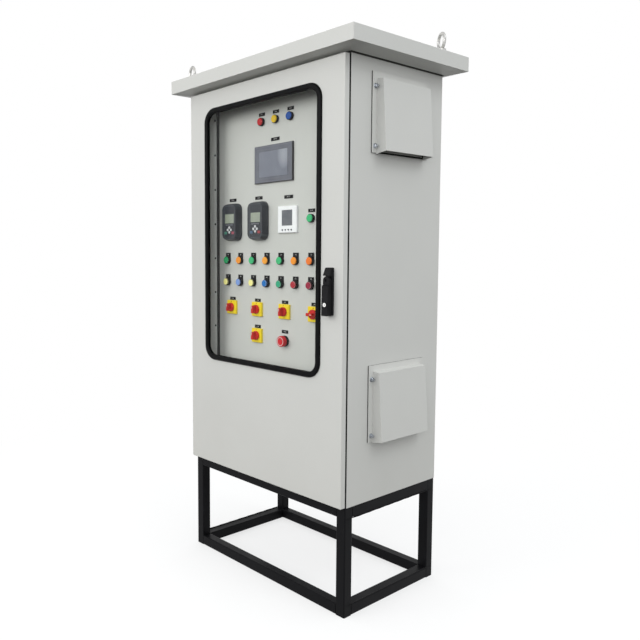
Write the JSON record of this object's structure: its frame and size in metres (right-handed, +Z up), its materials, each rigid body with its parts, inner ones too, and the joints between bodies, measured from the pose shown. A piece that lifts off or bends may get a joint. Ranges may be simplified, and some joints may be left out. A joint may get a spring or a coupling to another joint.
{
  "type": "generator control panel",
  "caption": "Free-standing outdoor control cabinet on a tube stand, with canopy, lifting eyes, air cowls and a glazed hinged door over an inner panel of lamps, buttons and switches.",
  "frame": {"origin": "on the floor under the middle of the canopy", "axes": "+Z up, +X to the viewer's right of the door, +Y from the door to the back"},
  "size_m": [0.94, 0.622, 1.9699],
  "materials": {
    "cabinet_grey": "fine textured powder coat",
    "panel_grey": "smooth powder coat",
    "stand_black": "satin",
    "zinc": "zinc plated",
    "galvanised": "galvanised",
    "rubber_black": "matt",
    "handle_black": "satin",
    "lock_silver": "satin chrome",
    "pane_clear": "clear",
    "device_black": "matt",
    "label_black": "engraved",
    "lens_mixed": "translucent, a colour for each lamp",
    "screen_grey": "satin",
    "screen_glass": "gloss",
    "keypad_slate": "matt",
    "display_green": "gloss",
    "key_white": "matt, a colour for each key",
    "meter_white": "satin",
    "switch_yellow": "satin",
    "knob_red": "gloss",
    "stop_red": "gloss",
    "cap_pale_yellow": "gloss",
    "cap_pale_blue": "gloss",
    "cap_blue": "gloss",
    "cap_green": "gloss",
    "cap_red": "gloss",
    "cap_crimson": "gloss",
    "switchgear_grey": "matt",
    "filter_white": "fibre mat",
    "fan_black": "matt"
  },
  "bodies": {
    "cabinet": {"stand_legs": "stand_black", "stand_rails": "stand_black", "floor_plate": "galvanised", "gland_plate": "galvanised", "side_panel_left": "cabinet_grey", "side_panel_right": "cabinet_grey", "back_panel": "cabinet_grey", "top_plate": "cabinet_grey", "front_frame": "cabinet_grey", "roof_canopy": "cabinet_grey", "roof_rails": "galvanised", "lifting_eyes": "zinc", "vent_cowls": "cabinet_grey", "vent_gaskets": "rubber_black", "fan_frame": "fan_black", "intake_filter": "filter_white", "panel_uprights": "panel_grey", "panel_edge_seals": "rubber_black", "inner_panel": "panel_grey", "lamp_bezels": "device_black", "lamp_lenses": "lens_mixed", "button_bezels": "device_black", "label_plates": "label_black", "touch_screen_case": "screen_grey", "touch_screen_glass": "screen_glass", "keypad_housings": "keypad_slate", "display_windows": "display_green", "panel_keys": "key_white", "meter_case": "meter_white", "switch_plates": "switch_yellow", "stop_collar": "device_black", "hinge_body_leaves": "cabinet_grey", "mounting_plate": "galvanised", "mounting_rails": "zinc", "switchgear": "switchgear_grey"},
    "door": {"door_panel": "cabinet_grey", "door_seal": "rubber_black", "window_gasket": "rubber_black", "window_pane": "pane_clear", "handle_base": "handle_black", "hinge_door_leaves": "cabinet_grey"},
    "handle_spindle": {"handle_spindle": "zinc"},
    "handle_lever": {"handle_lever": "handle_black"},
    "lock_cylinder": {"lock_cylinder": "lock_silver"},
    "stop_plunger": {"stop_plunger": "device_black"},
    "stop_head": {"stop_head": "stop_red"},
    "fan_rotor": {"fan_rotor": "fan_black"},
    "button_1": {"button_1": "cap_pale_yellow"},
    "button_2": {"button_2": "cap_pale_blue"},
    "button_3": {"button_3": "cap_pale_yellow"},
    "button_4": {"button_4": "cap_blue"},
    "button_5": {"button_5": "cap_green"},
    "button_6": {"button_6": "cap_red"},
    "button_7": {"button_7": "cap_crimson"},
    "button_8": {"button_8": "cap_red"},
    "switch_knob_1": {"switch_knob_1": "knob_red"},
    "switch_knob_2": {"switch_knob_2": "knob_red"},
    "switch_knob_3": {"switch_knob_3": "knob_red"},
    "switch_knob_4": {"switch_knob_4": "knob_red"},
    "switch_knob_5": {"switch_knob_5": "knob_red"}
  },
  "joints": [
    {"name": "door_swing", "type": "hinge", "parent": "cabinet", "child": "door", "pos_m": [-0.406, -0.2415, 1.1], "axis": [0, 0, -1], "range_deg": [0, 120]},
    {"name": "handle_turn", "type": "hinge", "parent": "door", "child": "handle_spindle", "pos_m": [0.349, -0.276, 1.125], "axis": [0, 1, 0], "range_deg": [0, 90]},
    {"name": "lever_lift", "type": "hinge", "parent": "handle_spindle", "child": "handle_lever", "pos_m": [0.349, -0.282, 1.125], "axis": [-1, 0, 0], "range_deg": [0, 35]},
    {"name": "lock_turn", "type": "hinge", "parent": "handle_lever", "child": "lock_cylinder", "pos_m": [0.349, -0.29, 1.0465], "axis": [0, 1, 0], "range_deg": [0, 90]},
    {"name": "button_1_press", "type": "slide", "parent": "cabinet", "child": "button_1", "axis": [0, 1, 0], "range_m": [0, 0.004], "stiffness_N_per_m": 800},
    {"name": "button_2_press", "type": "slide", "parent": "cabinet", "child": "button_2", "axis": [0, 1, 0], "range_m": [0, 0.004], "stiffness_N_per_m": 800},
    {"name": "button_3_press", "type": "slide", "parent": "cabinet", "child": "button_3", "axis": [0, 1, 0], "range_m": [0, 0.004], "stiffness_N_per_m": 800},
    {"name": "button_4_press", "type": "slide", "parent": "cabinet", "child": "button_4", "axis": [0, 1, 0], "range_m": [0, 0.004], "stiffness_N_per_m": 800},
    {"name": "button_5_press", "type": "slide", "parent": "cabinet", "child": "button_5", "axis": [0, 1, 0], "range_m": [0, 0.004], "stiffness_N_per_m": 800},
    {"name": "button_6_press", "type": "slide", "parent": "cabinet", "child": "button_6", "axis": [0, 1, 0], "range_m": [0, 0.004], "stiffness_N_per_m": 800},
    {"name": "button_7_press", "type": "slide", "parent": "cabinet", "child": "button_7", "axis": [0, 1, 0], "range_m": [0, 0.004], "stiffness_N_per_m": 800},
    {"name": "button_8_press", "type": "slide", "parent": "cabinet", "child": "button_8", "axis": [0, 1, 0], "range_m": [0, 0.004], "stiffness_N_per_m": 800},
    {"name": "switch_1_turn", "type": "hinge", "parent": "cabinet", "child": "switch_knob_1", "pos_m": [-0.235, -0.186, 1], "axis": [0, 1, 0], "range_deg": [0, 90]},
    {"name": "switch_2_turn", "type": "hinge", "parent": "cabinet", "child": "switch_knob_2", "pos_m": [-0.088, -0.186, 1], "axis": [0, 1, 0], "range_deg": [0, 90]},
    {"name": "switch_3_turn", "type": "hinge", "parent": "cabinet", "child": "switch_knob_3", "pos_m": [0.059, -0.186, 1], "axis": [0, 1, 0], "range_deg": [0, 90]},
    {"name": "switch_4_turn", "type": "hinge", "parent": "cabinet", "child": "switch_knob_4", "pos_m": [0.206, -0.186, 1], "axis": [0, 1, 0], "range_deg": [-90, 0]},
    {"name": "switch_5_turn", "type": "hinge", "parent": "cabinet", "child": "switch_knob_5", "pos_m": [-0.088, -0.186, 0.9], "axis": [0, 1, 0], "range_deg": [0, 90]},
    {"name": "stop_press", "type": "slide", "parent": "cabinet", "child": "stop_plunger", "axis": [0, 1, 0], "range_m": [0, 0.004]},
    {"name": "stop_release", "type": "hinge", "parent": "stop_plunger", "child": "stop_head", "pos_m": [0.059, -0.186, 0.892], "axis": [0, 1, 0], "range_deg": [0, 45], "stiffness_Nm_per_rad": 0.05},
    {"name": "fan_spin", "type": "hinge", "parent": "cabinet", "child": "fan_rotor", "pos_m": [0.37, 0.016, 1.6595], "axis": [1, 0, 0], "continuous": true}
  ]
}
